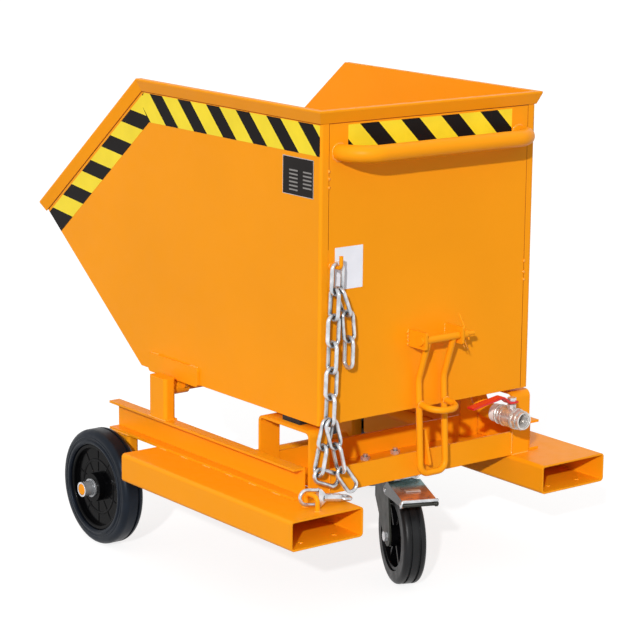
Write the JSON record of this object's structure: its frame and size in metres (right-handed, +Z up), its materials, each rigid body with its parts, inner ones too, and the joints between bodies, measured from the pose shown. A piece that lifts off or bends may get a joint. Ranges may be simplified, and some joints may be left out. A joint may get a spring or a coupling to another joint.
{
  "type": "tipping box trolley",
  "caption": "Steel tipping tub on a wheeled chassis with fork pockets, front wheels, a braked rear castor, a push handle, a drain valve, a swing latch and a safety chain.",
  "frame": {"origin": "on the floor, under the centre of the outer box", "axes": "+X towards the push handle, -X towards the dump lip, +Y to the right seen from the handle, +Z up"},
  "size_m": [1.117, 0.85, 1.001],
  "materials": {
    "orange_paint": "orange semi-gloss powder coat",
    "zinc_steel": "bright zinc plating",
    "nickel_brass": "nickel plating",
    "red_lever": "red coating",
    "black_rubber": "matt rubber",
    "tyre_rubber": "satin solid rubber",
    "wheel_plastic": "satin moulded plastic",
    "pedal_plate": "bright zinc plating",
    "fork_steel": "dark passivated steel",
    "white_tape": "thread sealing tape",
    "hazard_film": "yellow film with black diagonal bars",
    "plate_film": "dark printed film",
    "sticker_film": "white film"
  },
  "bodies": {
    "chassis": {"channel_left": "orange_paint", "channel_right": "orange_paint", "fork_pocket_left": "orange_paint", "fork_pocket_right": "orange_paint", "rear_crossbeam": "orange_paint", "stand_left": "orange_paint", "stand_right": "orange_paint", "rubber_pads": "black_rubber", "pivot_post_left": "orange_paint", "pivot_post_right": "orange_paint", "pivot_shaft": "orange_paint", "axle_post_left": "orange_paint", "axle_post_right": "orange_paint", "wheel_axle": "orange_paint", "axle_collars": "zinc_steel", "catch_plate": "orange_paint", "chain_eye": "orange_paint", "castor_plate": "zinc_steel", "castor_bolts": "zinc_steel"},
    "tub": {"side_panel_left": "orange_paint", "side_panel_right": "orange_paint", "rear_wall": "orange_paint", "floor_sheet": "orange_paint", "rim_left": "orange_paint", "rim_right": "orange_paint", "rim_rear": "orange_paint", "push_handle": "orange_paint", "doubler_plates": "orange_paint", "hinge_lugs": "orange_paint", "pivot_bushes": "orange_paint", "latch_brackets": "orange_paint", "latch_pin": "orange_paint", "split_pin_and_washer": "orange_paint", "chain_hook": "orange_paint", "drain_pipe": "orange_paint", "thread_tape": "white_tape", "valve_body": "nickel_brass", "valve_end": "nickel_brass", "nameplate": "plate_film", "sticker": "sticker_film", "hazard_tape_left": "hazard_film", "hazard_tape_right": "hazard_film", "hazard_tape_rear": "hazard_film"},
    "latch": {"bail": "orange_paint", "latch_pull": "orange_paint"},
    "valve_handle": {"valve_lever": "red_lever", "lever_nut": "zinc_steel", "valve_ball_and_stem": "nickel_brass"},
    "chain": {"safety_chain": "zinc_steel"},
    "front_wheel_left": {"front_tyre_left": "tyre_rubber", "front_wheel_core_left": "wheel_plastic"},
    "front_wheel_right": {"front_tyre_right": "tyre_rubber", "front_wheel_core_right": "wheel_plastic"},
    "castor": {"castor_fork": "fork_steel", "castor_axle": "zinc_steel"},
    "castor_wheel": {"castor_tyre": "tyre_rubber", "castor_wheel_core": "wheel_plastic"},
    "brake": {"brake_pedal": "pedal_plate"},
    "snap_hook": {"snap_hook": "zinc_steel"},
    "snap_gate": {"snap_gate": "zinc_steel"}
  },
  "joints": [
    {"name": "tub_tip", "type": "hinge", "parent": "chassis", "child": "tub", "pos_m": [-0.0305, 0, 0.36], "axis": [0, -1, 0], "range_deg": [0, 60]},
    {"name": "latch_swing", "type": "hinge", "parent": "tub", "child": "latch", "pos_m": [0.5055, 0, 0.53], "axis": [0, -1, 0], "range_deg": [-3.2, 30]},
    {"name": "valve_turn", "type": "hinge", "parent": "tub", "child": "valve_handle", "pos_m": [0.5105, 0.19, 0.369], "axis": [0, 0, 1], "range_deg": [0, 90]},
    {"name": "chain_swing", "type": "hinge", "parent": "tub", "child": "chain", "pos_m": [0.4835, -0.249, 0.7063], "axis": [0, -1, 0], "range_deg": [0, 60]},
    {"name": "front_wheel_left_spin", "type": "hinge", "parent": "chassis", "child": "front_wheel_left", "pos_m": [-0.1725, -0.369, 0.125], "axis": [0, 1, 0], "continuous": true},
    {"name": "front_wheel_right_spin", "type": "hinge", "parent": "chassis", "child": "front_wheel_right", "pos_m": [-0.1725, 0.369, 0.125], "axis": [0, 1, 0], "continuous": true},
    {"name": "castor_swivel", "type": "hinge", "parent": "chassis", "child": "castor", "pos_m": [0.3715, 0, 0.2117], "axis": [0, 0, 1], "continuous": true},
    {"name": "castor_wheel_spin", "type": "hinge", "parent": "castor", "child": "castor_wheel", "pos_m": [0.41752, -0.01954, 0.1], "axis": [0.3907, 0.9205, 0], "continuous": true},
    {"name": "brake_press", "type": "hinge", "parent": "castor", "child": "brake", "pos_m": [0.40832, -0.01563, 0.196], "axis": [0.3907, 0.9205, 0], "range_deg": [0, 20]},
    {"name": "snap_hook_swing", "type": "hinge", "parent": "chassis", "child": "snap_hook", "pos_m": [0.5145, -0.33, 0.26425], "axis": [1, 0, 0], "range_deg": [0, 60]},
    {"name": "snap_gate_press", "type": "hinge", "parent": "snap_hook", "child": "snap_gate", "pos_m": [0.51076, -0.3175, 0.24178], "axis": [-0.9863, 0.165, 0], "range_deg": [0, 25], "stiffness_Nm_per_rad": 0.1}
  ]
}
